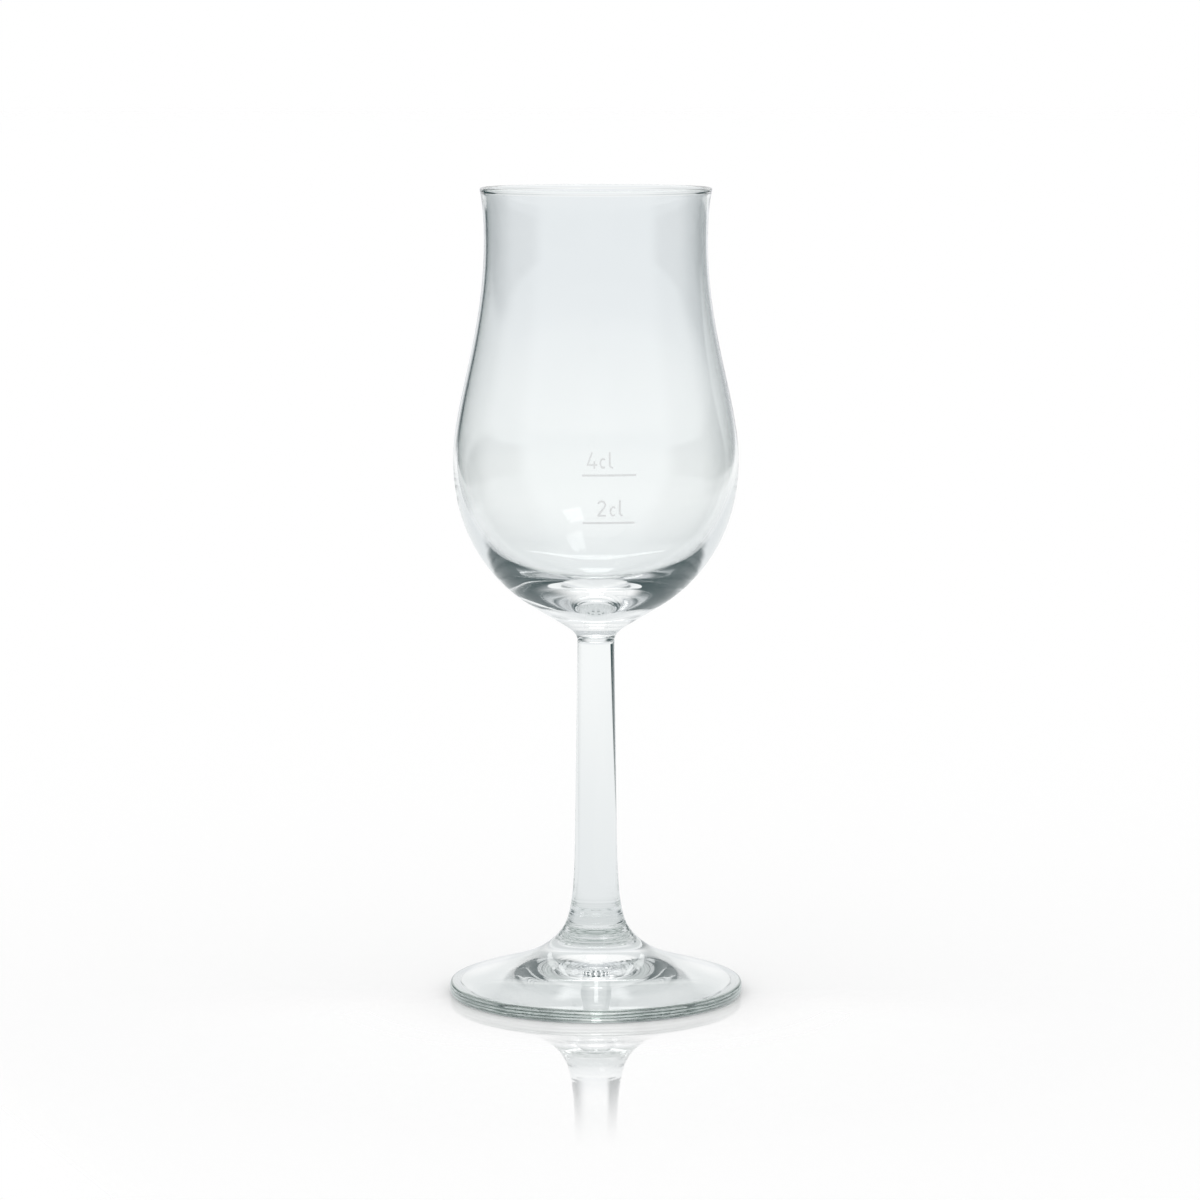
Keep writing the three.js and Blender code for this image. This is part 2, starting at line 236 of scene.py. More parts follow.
# %% [markdown]
# ## Lamps
# Lamps overhead draw the bright shapes. A square one in front gives the two strokes in the bowl. Behind it, a bowed
# strip and a spot show in the foot, the strip only in mirrored rays, and an arc and a pool show in the thick base of
# the bowl. The number of surfaces that a ray has crossed tells the foot from the bowl, so each shows its own shapes.
# Area lamps would light the table as well. Drawn in the world, they show only to rays that were bent or mirrored.

# %% Lamps
LAMP = (3.5, 3.5, 3.5, 1.0)
FRONT_LAMP_TURN, FRONT_LAMP_RISE = (-160.0, -134.0, 2.0), (50.0, 64.0, 2.0)
# Each lamp on the ceiling: its bend, its depth and its width, the last two with the softness of their ends
STRIP = 1.05, (0.64, 0.83, 0.03), (-0.76, 0.70, 0.06)
SPOT = 0.0, (1.0, 1.4, 0.05), (-0.13, 0.11, 0.03)
ARC = 2.1, (0.58, 0.70, 0.02), (-0.76, 0.70, 0.06)
POOL = 6.0, (1.0, 1.5, 0.05), (-0.28, 0.25, 0.03)
OVERHEAD_RISE = (20.0, 30.0)
FIRST_SURFACE, BOWL_SURFACES = 0.5, 2.5


def ceiling_lamp(tree, look, bend, depth, width):
    """A bowed lamp on the ceiling: back less bend times across squared lies within its depth, and across lies within
    its width."""
    square = times(tree, look["across"], look["across"])
    bow = calc(tree, "SUBTRACT", look["back"], times(tree, square, bend))
    return times(tree, band(tree, bow, *depth), band(tree, look["across"], *width))


def lamp_share(tree, look, path):
    """One on a lamp: the front lamp for every ray, the others by the number of surfaces the ray has crossed."""
    turned_to = band(tree, look["turn"], *degrees(*FRONT_LAMP_TURN))
    front = times(tree, turned_to, band(tree, look["rise"], *degrees(*FRONT_LAMP_RISE)))
    crossed = path["Transmission Depth"]
    strip = times(tree, ceiling_lamp(tree, look, *STRIP), calc(tree, "LESS_THAN", crossed, FIRST_SURFACE))
    foot_lamps = calc(tree, "ADD", strip, ceiling_lamp(tree, look, *SPOT))
    bowl_lamps = calc(tree, "ADD", ceiling_lamp(tree, look, *ARC), ceiling_lamp(tree, look, *POOL))
    shown = choose(tree, calc(tree, "GREATER_THAN", crossed, BOWL_SURFACES), foot_lamps, bowl_lamps)
    overhead = times(tree, shown, fade(tree, look["rise"], *degrees(*OVERHEAD_RISE)))
    return calc(tree, "MAXIMUM", front, overhead)


print("lamps at", LAMP[0], "times white")

# %% [markdown]
# ## World
# Only rays that were bent or mirrored meet the studio. The camera sees plain white, and the matt surfaces are lit by an
# even white sky. Rays that were only mirrored meet the studio near the level, and white above it. Planes on separate
# layers could be kept from some rays too, but a ray's own path tells all of that in one place.

# %% World
MIRROR_RISE = (16.0, 12.0)


def build_world():
    """The studio and the lamps by direction, for bent and mirrored rays, and white for all others."""
    world = bpy.data.worlds.new("studio")
    world.use_nodes = True
    tree = world.node_tree
    tree.nodes.clear()
    look = look_direction(tree)
    path = add_node(tree, "ShaderNodeLightPath").outputs
    through = calc(tree, "MAXIMUM", path["Is Glossy Ray"], path["Is Transmission Ray"])
    level = fade(tree, look["rise"], *degrees(*MIRROR_RISE))
    studio = calc(tree, "MAXIMUM", path["Is Transmission Ray"], level)
    colour = mix_colour(tree, times(tree, studio, through), WHITE, studio_colour(tree, look, path))
    colour = mix_colour(tree, times(tree, lamp_share(tree, look, path), through), colour, LAMP)
    colour = mix_colour(tree, path["Is Camera Ray"], colour, WHITE)
    background = add_node(tree, "ShaderNodeBackground", {"Color": colour, "Strength": 1.0})
    output = add_node(tree, "ShaderNodeOutputWorld")
    tree.links.new(background.outputs[0], output.inputs["Surface"])
    return world


bpy.context.scene.world = build_world()
print("world nodes:", len(bpy.context.scene.world.node_tree.nodes))

# %% [markdown]
# ## Surfaces of revolution
# Blown, drawn and pressed glass is round, so every piece is one profile turned about the upright axis. Blender's Spin
# or Screw would do that from an edge, but a grid of numbers gives full hold on where the points lie: many on a tight
# lip, few on a flat. A profile is made of the same cubic stretches as the CAD model, each a start, an end and the two
# pulls that bend it.


# %% Profile helpers
def stretch(start, leaving, arriving, end, points=400):
    """Cubic curve from start to end: it leaves start along one pull and comes into end along the other."""
    t = np.linspace(0.0, 1.0, points)[:, None]
    p0, p3 = np.array(start, float), np.array(end, float)
    p1, p2 = p0 + leaving, p3 + arriving
    return (1 - t) ** 3 * p0 + 3 * (1 - t) ** 2 * t * p1 + 3 * (1 - t) * t**2 * p2 + t**3 * p3


def straight(start, end, points=400):
    """Straight run between two points of a profile."""
    t = np.linspace(0.0, 1.0, points)[:, None]
    return (1 - t) * np.array(start, float) + t * np.array(end, float)


def along(profile):
    """Distance along a profile at each of its points."""
    steps = np.linalg.norm(np.diff(profile, axis=0), axis=1)
    return np.concatenate([[0.0], np.cumsum(steps)])


def at_marks(profile, marks):
    """The points of a profile at given distances along it."""
    length = along(profile)
    return np.stack([np.interp(marks, length, profile[:, k]) for k in (0, 1)], axis=1)


def spaced(profile, step):
    """The same profile with points a given step apart, both ends kept."""
    length = along(profile)[-1]
    count = max(2, int(math.ceil(length / step)) + 1)
    return at_marks(profile, np.linspace(0.0, length, count))


def chain(*runs):
    """Runs of a profile end to end, with the shared points kept once."""
    return np.concatenate([runs[0]] + [run[1:] for run in runs[1:]])


print("profile helpers ready")

# %% [markdown]
# ## Ridges and turning
# A pressing tool leaves fine ridges. They ride on the profile, as a small push out of the glass at each point. A
# displacement texture would need fine faces everywhere, and here only the profile is fine. Turning the finished
# profile then gives the mesh. The flat discs where a piece is fused to the next get a material of their own, so each
# row of faces knows whether it lies in a weld.

# %% Ridges and turning
OVERTONE, OVERTONE_PITCH = 0.5, 1.7


def outward(profile):
    """Unit vector out of the glass at each point, a quarter turn right of the way the profile runs."""
    slope = np.gradient(profile, axis=0)
    slope /= np.linalg.norm(slope, axis=1, keepdims=True)
    return np.stack([slope[:, 1], -slope[:, 0]], axis=1)


def ridged(profile, origin, period, depth, low, high, soft):
    """Fine ridges: each point moves out of the glass by depth times the sum of two sines of its distance from origin
    along the profile, one per period and a quicker one at half strength, so that no two ridges are alike. The ridges
    fade in after low and out before high, over a length of soft."""
    place = along(profile) - origin
    inside = np.clip(np.minimum(place - low, high - place) / soft, 0.0, 1.0)
    phase = 2 * np.pi * place / period
    waves = np.sin(phase) + OVERTONE * np.sin(OVERTONE_PITCH * phase)
    height = depth * inside * waves / (1 + OVERTONE)
    return profile + height[:, None] * outward(profile)


def turned(name, profile, around, weld_rows, materials):
    """A profile turned about the z axis: (r cos a, r sin a, z) on a grid of angle and place along the profile.
    The first and last points lie on the axis and close the piece with fans. Faces whose row is in weld_rows take the
    second material, and all lengths go from millimetres to metres."""
    angle = 2 * np.pi * np.arange(around) / around
    radius, height = profile[1:-1, 0], profile[1:-1, 1]
    rows = len(radius)
    level = np.repeat(height[:, None], around, 1)
    ring = np.stack([radius[:, None] * np.cos(angle), radius[:, None] * np.sin(angle), level], axis=2)
    poles = np.array([[0.0, 0.0, profile[0, 1]], [0.0, 0.0, profile[-1, 1]]])
    points = np.concatenate([ring.reshape(-1, 3), poles]) * MM
    row, column = np.meshgrid(np.arange(rows - 1), np.arange(around), indexing="ij")
    after = (column + 1) % around
    quads = np.stack(
        [row * around + column, row * around + after, (row + 1) * around + after, (row + 1) * around + column], axis=2
    ).reshape(-1, 4)
    side = np.arange(around)
    low, high = rows * around, rows * around + 1
    top = (rows - 1) * around
    first = np.stack([np.full(around, low), (side + 1) % around, side], axis=1)
    last = np.stack([np.full(around, high), top + side, top + (side + 1) % around], axis=1)
    mesh = bpy.data.meshes.new(name)
    mesh.from_pydata(points.tolist(), [], quads.tolist() + first.tolist() + last.tolist())
    row_of_face = np.concatenate([row.ravel() + 1, np.zeros(around, int), np.full(around, rows)])
    welded = np.isin(row_of_face, weld_rows)
    for material in materials:
        mesh.materials.append(material)
    mesh.polygons.foreach_set("material_index", welded.astype(np.int32))
    mesh.polygons.foreach_set("use_smooth", np.ones(len(mesh.polygons), bool))
    mesh.update()
    piece = bpy.data.objects.new(name, mesh)
    bpy.context.scene.collection.objects.link(piece)
    return piece


print("turning ready")

# %% [markdown]
# ## Skin of the glass
# Blown and pressed glass is never quite even: the wall carries long waves, and fingers and cloths leave a faint veil.
# Both could be painted by hand on an unwrapped surface, but noise by place needs no unwrapping. Waves and veil are one
# node group that the three pieces share: the waves go to a bump and the veil to the roughness.

# %% Skin of the glass
VEIL_RANGE, VEIL_ROUGHNESS = (0.45, 0.8), 0.03


def glass_skin_group():
    """What all three pieces share: slow waves for a bump, and a veil of handling marks for the roughness."""
    tree = bpy.data.node_groups.new("glass_skin", "ShaderNodeTree")
    tree.interface.new_socket("Wave Scale", in_out="INPUT", socket_type="NodeSocketFloat")
    tree.interface.new_socket("Height", in_out="OUTPUT", socket_type="NodeSocketFloat")
    tree.interface.new_socket("Roughness", in_out="OUTPUT", socket_type="NodeSocketFloat")
    wave_scale = add_node(tree, "NodeGroupInput").outputs["Wave Scale"]
    place = add_node(tree, "ShaderNodeTexCoord").outputs["Object"]
    waves = add_node(tree, "ShaderNodeTexNoise", {"Vector": place, "Scale": wave_scale, "Detail": 1.0})
    veil = add_node(tree, "ShaderNodeTexNoise", {"Vector": place, "Scale": 90.0, "Detail": 4.0})
    rough = fade(tree, veil.outputs[0], *VEIL_RANGE, 0.0, VEIL_ROUGHNESS)
    add_node(tree, "NodeGroupOutput", {"Height": waves.outputs[0], "Roughness": rough})
    return tree


glass_skin = glass_skin_group()
print("glass skin nodes:", len(glass_skin.nodes))

# %% [markdown]
# ## Edge of the foot
# The edge of the foot is seen through a long way of glass, so it is greener, which is the depth colour of the glass. A
# volume would give that depth of colour too, but an exported model can't carry one, so the colour goes by place: by
# radius and height. Over it go painted shade in a dark line in each groove, swaying a little on its way round, and a
# painted contact shadow on the heel.

# %% Edge of the foot
GLASS_TINT = (0.979, 0.992, 0.990, 1.0)
EDGE_TINT, EDGE_RADIUS, EDGE_TOP = (0.80, 0.86, 0.83, 1.0), (27.6, 28.3), (3.0, 2.4)
# A dark line in each groove: painted shade.
GROOVE_PAINTED_SHADE, GROOVE_PERIOD, GROOVE_SHADE_WIDTH = (0.12, 0.165, 0.145, 1.0), 0.62, (-0.2, 0.4)
GROOVE_SWAY = 5.0
# A dark heel where the foot stands: painted contact shadow.
HEEL_PAINTED_SHADOW, HEEL_SHADOW_TOP = (0.24, 0.28, 0.265, 1.0), (1.1, 0.1)


def edge_tint_and_shade(tree):
    """Colour of the foot by place: clear on top, greener on the edge, with painted shade in a dark line in each groove
    and a painted contact shadow on the heel it stands on. A groove is where the sine of height over the period, swayed
    by noise, is high."""
    place = add_node(tree, "ShaderNodeTexCoord").outputs["Object"]
    height = add_node(tree, "ShaderNodeSeparateXYZ", {0: place}).outputs["Z"]
    level = add_node(tree, "ShaderNodeVectorMath", {0: place, 1: (1.0, 1.0, 0.0)}, operation="MULTIPLY").outputs[0]
    radius = add_node(tree, "ShaderNodeVectorMath", {0: level}, operation="LENGTH").outputs["Value"]
    on_edge = times(tree, fade(tree, radius, *mm(*EDGE_RADIUS)), fade(tree, height, *mm(*EDGE_TOP)))
    sway = add_node(tree, "ShaderNodeTexNoise", {"Vector": place, "Scale": 70.0, "Detail": 2.0}).outputs[0]
    phase = times(tree, height, 2 * math.pi / (GROOVE_PERIOD * MM))
    swayed = calc(tree, "ADD", phase, times(tree, sway, GROOVE_SWAY))
    # Painted shade: a dark line along each groove.
    groove_shade = fade(tree, calc(tree, "SINE", swayed), *GROOVE_SHADE_WIDTH)
    colour = mix_colour(tree, groove_shade, EDGE_TINT, GROOVE_PAINTED_SHADE)
    # Painted contact shadow on the heel.
    colour = mix_colour(tree, fade(tree, height, *mm(*HEEL_SHADOW_TOP)), colour, HEEL_PAINTED_SHADOW)
    return mix_colour(tree, on_edge, GLASS_TINT, colour)


print("edge grooves every", GROOVE_PERIOD, "mm")

# %% [markdown]
# ## Clear glass
# Soda-lime glass bends light by 1.52 and is faintly green in thickness. The Principled shader with full transmission is
# that glass, and a Glass BSDF would look much the same, but an export understands the Principled one. The two discs
# inside each weld are not surfaces at all in a fused glass, so they take a fully clear material.

# %% Glass materials
GLASS_INDEX = 1.52
WAVE_DEPTH = 0.02
SOLID_WAVES, BLOWN_WAVES = 60.0, 40.0


def new_material(name):
    """An empty material, ready for nodes."""
    material = bpy.data.materials.new(name)
    material.use_nodes = True
    material.node_tree.nodes.clear()
    return material


def show(material, shader):
    """Puts a shader on a material's surface."""
    tree = material.node_tree
    output = add_node(tree, "ShaderNodeOutputMaterial")
    tree.links.new(shader.outputs[0], output.inputs["Surface"])
    return material


def glass_material(name, wave_scale, tint_and_shade=None):
    """Clear glass with slow waves of a given size. A function, if given, works out the colour by place, painted shade
    included.
    """
    material = new_material(name)
    tree = material.node_tree
    skin = add_node(tree, "ShaderNodeGroup", {"Wave Scale": wave_scale}, node_tree=glass_skin).outputs
    bump = add_node(tree, "ShaderNodeBump", {"Height": skin["Height"], "Distance": WAVE_DEPTH * MM})
    colour = tint_and_shade(tree) if tint_and_shade else GLASS_TINT
    shader = add_node(
        tree,
        "ShaderNodeBsdfPrincipled",
        {"Base Color": colour, "Roughness": skin["Roughness"], "IOR": GLASS_INDEX, "Normal": bump.outputs[0]},
    )
    shader.inputs["Transmission Weight"].default_value = 1.0
    return show(material, shader)


def weld_material():
    """The inside of a weld: no surface at all, so light goes straight through."""
    material = new_material("weld_clear")
    return show(material, add_node(material.node_tree, "ShaderNodeBsdfTransparent"))


foot_glass = glass_material("foot_glass", SOLID_WAVES, edge_tint_and_shade)
stem_glass = glass_material("stem_glass", SOLID_WAVES)
bowl_glass = glass_material("bowl_glass", BLOWN_WAVES)
weld_clear = weld_material()
print("glass of index", GLASS_INDEX)

# %% [markdown]
# ## Foot
# The foot is pressed: a low cone that rises to a boss in the middle, hollow underneath so that it stands on a ring. The
# tool leaves fine ridges round its edge and faint rings on the boss. A bump could stand for those, but clear glass
# bends light at its true surface, so they are part of the profile, and the points lie close there.

# %% Foot profile
FOOT_RADIUS, FOOT_HEIGHT = 28.9, 14.0
EDGE_HEIGHT, SHOULDER_INSET, SHOULDER_HEIGHT = 1.2, 0.7, 2.65
SHOULDER_SLOPE, SHOULDER_REACH, EDGE_ROUND = 0.37, 7.5, 0.8
HEEL_INSET, HEEL_ROUND, REST_RING_WIDTH = 0.9, 0.6, 2.0
HOLLOW_HEIGHT, HOLLOW_CROWN = 5.0, 6.0
HOLLOW_ANGLE, HOLLOW_REACH = math.radians(15), 11.0
STEM_FOOT_RADIUS, FLARE_ANGLE, BOSS_PULL = 6.03, math.radians(25.2), 7.85

heel = FOOT_RADIUS - HEEL_INSET
ring_inside = heel - REST_RING_WIDTH
shoulder = (FOOT_RADIUS - SHOULDER_INSET, SHOULDER_HEIGHT)
lean = np.array([math.sin(FLARE_ANGLE), -math.cos(FLARE_ANGLE)])
hollow_slope = np.array([math.cos(HOLLOW_ANGLE), -math.sin(HOLLOW_ANGLE)])
underside = stretch(
    (0.0, HOLLOW_HEIGHT), (HOLLOW_CROWN, 0.0), -HOLLOW_REACH * hollow_slope, (ring_inside, 0.0)
)
rest_ring = straight((ring_inside, 0.0), (heel, 0.0))
edge = chain(
    stretch((heel, 0.0), (HEEL_ROUND, 0.0), (0.0, -HEEL_ROUND), (FOOT_RADIUS, EDGE_HEIGHT)),
    stretch((FOOT_RADIUS, EDGE_HEIGHT), (0.0, EDGE_ROUND), (EDGE_ROUND, -SHOULDER_SLOPE * EDGE_ROUND), shoulder),
)
foot_top = stretch(
    shoulder, (-SHOULDER_REACH, SHOULDER_SLOPE * SHOULDER_REACH), BOSS_PULL * lean, (STEM_FOOT_RADIUS, FOOT_HEIGHT)
)
foot_weld = straight((STEM_FOOT_RADIUS, FOOT_HEIGHT), (0.0, FOOT_HEIGHT))
edge_length, top_length = along(edge)[-1], along(foot_top)[-1]
print("foot edge", round(edge_length, 2), "mm and top", round(top_length, 2), "mm along the profile")

# %% [markdown]
# ## Ridges of the foot
# The ridges are up to 0.03 mm high on the edge and about half of that on the boss. They could be drawn one by one, but
# a sum of two waves makes each a little different. The rings of the boss run on past the weld, so they fade out only
# at their lower end. The turned foot takes the place of its CAD solid.

# %% Ridges of the foot
RIDGE_PERIOD, RIDGE_DEPTH, RIDGE_FADE = 0.55, 0.03, 0.4
RING_PERIOD, RING_DEPTH, RING_REACH, RING_POINTS = 1.15, 0.016, 5.0, 80
RING_PAST_WELD, FOOT_RING_FADE = 9.0, 1.5
UNDERSIDE_STEP, REST_STEP, EDGE_STEP, TOP_STEP, WELD_STEP = 0.5, 0.25, 0.05, 0.3, 1.5
FOOT_AROUND = 224

ribbed_edge = ridged(spaced(edge, EDGE_STEP), 0.0, RIDGE_PERIOD, RIDGE_DEPTH, 0.0, edge_length, RIDGE_FADE)
ring_start = top_length - RING_REACH
plain_marks = np.arange(0.0, ring_start, TOP_STEP)
top_run = at_marks(foot_top, np.concatenate([plain_marks, np.linspace(ring_start, top_length, RING_POINTS)]))
ringed_top = ridged(top_run, top_length, RING_PERIOD, RING_DEPTH, -RING_REACH, RING_PAST_WELD, FOOT_RING_FADE)
foot_skin = chain(spaced(underside, UNDERSIDE_STEP), spaced(rest_ring, REST_STEP), ribbed_edge, ringed_top)
foot_profile = chain(foot_skin, spaced(foot_weld, WELD_STEP))
foot_weld_rows = np.arange(len(foot_skin) - 1, len(foot_profile))
foot = turned("foot", foot_profile, FOOT_AROUND, foot_weld_rows, [foot_glass, weld_clear])
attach(foot, "root")
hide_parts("foot")
print("foot:", len(foot.data.polygons), "faces")

# %% [markdown]
# ## Stem
# The stem is drawn out of a hot gather, so it is thinnest near the bowl and swells towards the foot in one long curve.
# A tapered cylinder with a few loop cuts would do from far off. Here the curve has to run on from the foot without a
# break, because a break shows as a line in clear glass, and so do the faint rings, which go on a little way up.

# %% Stem
STEM_LENGTH, FLARE_LENGTH = 56.4, 18.2
STEM_TOP_RADIUS, STEM_WAIST_RADIUS = 3.64, 4.13
FLARE_START, FLARE_END = 8.5, 3.6
STEM_RING_FADE = 2.0
FLARE_STEP, LAST_GAP, STEM_STEP, NECK_DISC_STEP = 0.3, 0.1, 0.5, 1.0
STEM_AROUND = 160

bowl_weld = FOOT_HEIGHT + STEM_LENGTH
waist = (STEM_WAIST_RADIUS, FOOT_HEIGHT + FLARE_LENGTH)
taper = (STEM_WAIST_RADIUS - STEM_TOP_RADIUS) / (STEM_LENGTH - FLARE_LENGTH)
flare_run = stretch(
    (STEM_FOOT_RADIUS, FOOT_HEIGHT), -FLARE_END * lean, (taper * FLARE_START, -FLARE_START), waist
)
flare_length = along(flare_run)[-1]
ring_marks = np.linspace(0.0, RING_REACH, RING_POINTS)
upper_marks = np.arange(RING_REACH + FLARE_STEP, flare_length - LAST_GAP, FLARE_STEP)
flare_marks = np.concatenate([ring_marks, upper_marks, [flare_length]])
ringed_flare = ridged(
    at_marks(flare_run, flare_marks), 0.0, RING_PERIOD, RING_DEPTH, -RING_PAST_WELD, RING_REACH, STEM_RING_FADE
)
stem_skin = chain(ringed_flare, spaced(straight(waist, (STEM_TOP_RADIUS, bowl_weld)), STEM_STEP))
low_disc = spaced(straight((0.0, FOOT_HEIGHT), (STEM_FOOT_RADIUS, FOOT_HEIGHT)), WELD_STEP)
high_disc = spaced(straight((STEM_TOP_RADIUS, bowl_weld), (0.0, bowl_weld)), NECK_DISC_STEP)
stem_profile = chain(low_disc, stem_skin, high_disc)
stem_weld_rows = np.concatenate(
    [np.arange(len(low_disc) - 1), np.arange(len(low_disc) + len(stem_skin) - 2, len(stem_profile))]
)
stem = turned("stem", stem_profile, STEM_AROUND, stem_weld_rows, [stem_glass, weld_clear])
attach(stem, "root")
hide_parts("stem")
print("stem:", len(stem.data.polygons), "faces")

# %% [markdown]
# ## Bowl
# The bowl is blown thin and keeps a thick lens of glass at its bottom, which gathers the light. It swells to the belly,
# draws in at the throat and flares again at the lip, which the flame has melted into a small bead. The wall is thinnest
# at the throat and thicker at the belly. Solidify would give one thickness all over, so the outside and the inside are
# each a curve of their own, and the inside ends in a round bottom.

# %% Outside of the bowl
BOWL_HEIGHT = 88.6
RIM_RADIUS, RIM_FLARE_RUN, RIM_FLARE_DROP = 22.55, 0.78, 3.56
THROAT_RADIUS, THROAT_DROP, THROAT_PULL_UP, THROAT_PULL_DOWN = 21.75, 10.4, 2.3, 18.1
BELLY_RADIUS, BELLY_HEIGHT, BELLY_PULL_UP, BELLY_PULL_DOWN = 27.9, 35.55, 11.4, 18.8
BASE_RADIUS, BASE_HEIGHT, BASE_ANGLE = 13.25, 7.35, math.radians(32.6)
BASE_PULL_OUT, BASE_PULL_IN, NECK_PULL = 2.9, 7.8, 2.2
LIP_WIDTH, LIP_HEIGHT = 0.9, 1.1

crest = bowl_weld + BOWL_HEIGHT
base = (BASE_RADIUS, bowl_weld + BASE_HEIGHT)
climb = np.array([math.cos(BASE_ANGLE), math.sin(BASE_ANGLE)])
belly = (BELLY_RADIUS, bowl_weld + BELLY_HEIGHT)
throat = (THROAT_RADIUS, crest - THROAT_DROP)
lip_round = LIP_WIDTH / 2
lip = (RIM_RADIUS, crest - lip_round)
neck = stretch((STEM_TOP_RADIUS, bowl_weld), (0.0, NECK_PULL), -BASE_PULL_IN * climb, base)
cup = stretch(base, BASE_PULL_OUT * climb, (0.0, -BELLY_PULL_DOWN), belly)
wall_run = stretch(belly, (0.0, BELLY_PULL_UP), (0.0, -THROAT_PULL_DOWN), throat)
rim_flare = stretch(throat, (0.0, THROAT_PULL_UP), (-RIM_FLARE_RUN, -RIM_FLARE_DROP), lip)
print("crest of the bowl at", round(crest, 2), "mm")

# %% [markdown]
# ## Lip and inside
# The lip is two quarter circles and a short curve under them, which makes the bead. A bevel would round an edge too,
# but the bead is thicker than the wall below it. The inside comes down from it with the pulls of the outside, set in by
# the wall of each place, and turns into the round bottom over the thick base.

# %% Lip and inside of the bowl
BELLY_WALL, THROAT_WALL = 0.95, 0.65
QUARTER_CIRCLE = 0.5523
TURN_RADIUS, TURN_HEIGHT, TURN_ANGLE = 17.8, 15.2, math.radians(38)
SIDE_PULL, TURN_PULL_UP, TURN_PULL_IN = 8.6, 6.0, 6.6
FLOOR_THICKNESS, FLOOR_FLAT = 8.6, 2.8

crest_point = (RIM_RADIUS - lip_round, crest)
lip_pull = QUARTER_CIRCLE * lip_round
flare_lean = RIM_FLARE_RUN / RIM_FLARE_DROP
bead = (LIP_HEIGHT - lip_round) / 3
inner_lip = (RIM_RADIUS - LIP_WIDTH, crest - lip_round)
under_lip = (RIM_RADIUS - flare_lean * (LIP_HEIGHT - lip_round) - THROAT_WALL, crest - LIP_HEIGHT)
lip_run = chain(
    stretch(lip, (0.0, lip_pull), (lip_pull, 0.0), crest_point),
    stretch(crest_point, (-lip_pull, 0.0), (0.0, lip_pull), inner_lip),
    stretch(inner_lip, (0.0, -bead), (flare_lean * bead, bead), under_lip),
)
inner_throat = (THROAT_RADIUS - THROAT_WALL, crest - THROAT_DROP)
inner_belly = (BELLY_RADIUS - BELLY_WALL, bowl_weld + BELLY_HEIGHT)
inner_floor = bowl_weld + FLOOR_THICKNESS
inner_flare = stretch(under_lip, (-RIM_FLARE_RUN, -RIM_FLARE_DROP), (0.0, THROAT_PULL_UP), inner_throat)
inner_wall = stretch(inner_throat, (0.0, -THROAT_PULL_DOWN), (0.0, BELLY_PULL_UP), inner_belly)
turn = (TURN_RADIUS, bowl_weld + TURN_HEIGHT)
turn_slope = np.array([math.cos(TURN_ANGLE), math.sin(TURN_ANGLE)])
round_bottom = chain(
    stretch(inner_belly, (0.0, -SIDE_PULL), TURN_PULL_UP * turn_slope, turn),
    stretch(turn, -TURN_PULL_IN * turn_slope, (FLOOR_FLAT, 0.0), (0.0, inner_floor)),
)
print("inside of the bowl from", round(inner_floor, 2), "mm up")

# %% [markdown]
# ## Turning the bowl
# The points lie close on the lip and at the neck, where the curve is tight, and further apart on the long wall. A
# subdivision surface would smooth a coarser mesh, but it shrinks tight curves such as the lip. The turned bowl takes
# the place of its CAD solid.

# %% Turn the bowl
NECK_STEP, CUP_STEP, WALL_STEP, FLARE_RIM_STEP, LIP_STEP, BOTTOM_STEP = 0.3, 0.6, 0.8, 0.5, 0.06, 0.5
BOWL_AROUND = 240

disc = spaced(straight((0.0, bowl_weld), (STEM_TOP_RADIUS, bowl_weld)), NECK_DISC_STEP)
bowl_profile = chain(
    disc,
    spaced(neck, NECK_STEP),
    spaced(cup, CUP_STEP),
    spaced(wall_run, WALL_STEP),
    spaced(rim_flare, FLARE_RIM_STEP),
    spaced(lip_run, LIP_STEP),
    spaced(inner_flare, FLARE_RIM_STEP),
    spaced(inner_wall, WALL_STEP),
    spaced(round_bottom, BOTTOM_STEP),
)
bowl = turned("bowl", bowl_profile, BOWL_AROUND, np.arange(len(disc) - 1), [bowl_glass, weld_clear])
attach(bowl, "root")
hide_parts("bowl")
print("bowl:", len(bowl.data.polygons), "faces")

# %% [markdown]
# ## Floor
# The table is white lacquer. Close to the glass it is polished, so that it mirrors the foot and the lower stem and then
# loses them. It is lit like everything else and keeps the soft shadow of the glass. A plain plane would end in a line
# that shows through the bowl, so this one runs far back and fades out on all sides. Seen through the glass, it goes by
# distance: greyer under the foot, where the glass takes its light, and paler further out.

# %% Reach and polish of the table
TABLE_LEFT, TABLE_RIGHT = -6700.0, 4700.0
TABLE_FRONT, TABLE_BACK = -420.0, 15000.0
FRONT_FADE, BACK_FADE = (TABLE_FRONT, -250.0), (14500.0, 9000.0)
LEFT_SLANT, LEFT_FADE = 0.44, (-154.0, -132.0)
RIGHT_SLANT, RIGHT_FADE = 0.28, (430.0, 300.0)
FAR_LEFT = (1100.0, 1900.0)
GLOSS_NEAR, GLOSS_FAR, GLOSS_FACING = (30.0, 50.0), (46.0, 125.0), (-0.1, 0.4)
GLOSS_UNDER, GLOSS_MOST = 0.18, 0.75


def table_reach(tree, axes):
    """One on the table and nought past its soft edges: two slanting sides, the front, the back, and the far left, where
    the left card stands."""
    x, y = axes["X"], axes["Y"]
    left = fade(tree, calc(tree, "ADD", x, times(tree, y, LEFT_SLANT)), *mm(*LEFT_FADE))
    turn_left = calc(tree, "ARCTAN2", times(tree, x, -1.0), y)
    hidden = times(tree, fade(tree, y, *mm(*FAR_LEFT)), fade(tree, turn_left, *degrees(*LEFT_CARD)))
    left = times(tree, left, calc(tree, "SUBTRACT", 1.0, hidden))
    right = fade(tree, calc(tree, "SUBTRACT", x, times(tree, y, RIGHT_SLANT)), *mm(*RIGHT_FADE))
    ends = times(tree, fade(tree, y, *mm(*FRONT_FADE)), fade(tree, y, *mm(*BACK_FADE)))
    return times(tree, times(tree, left, right), ends)


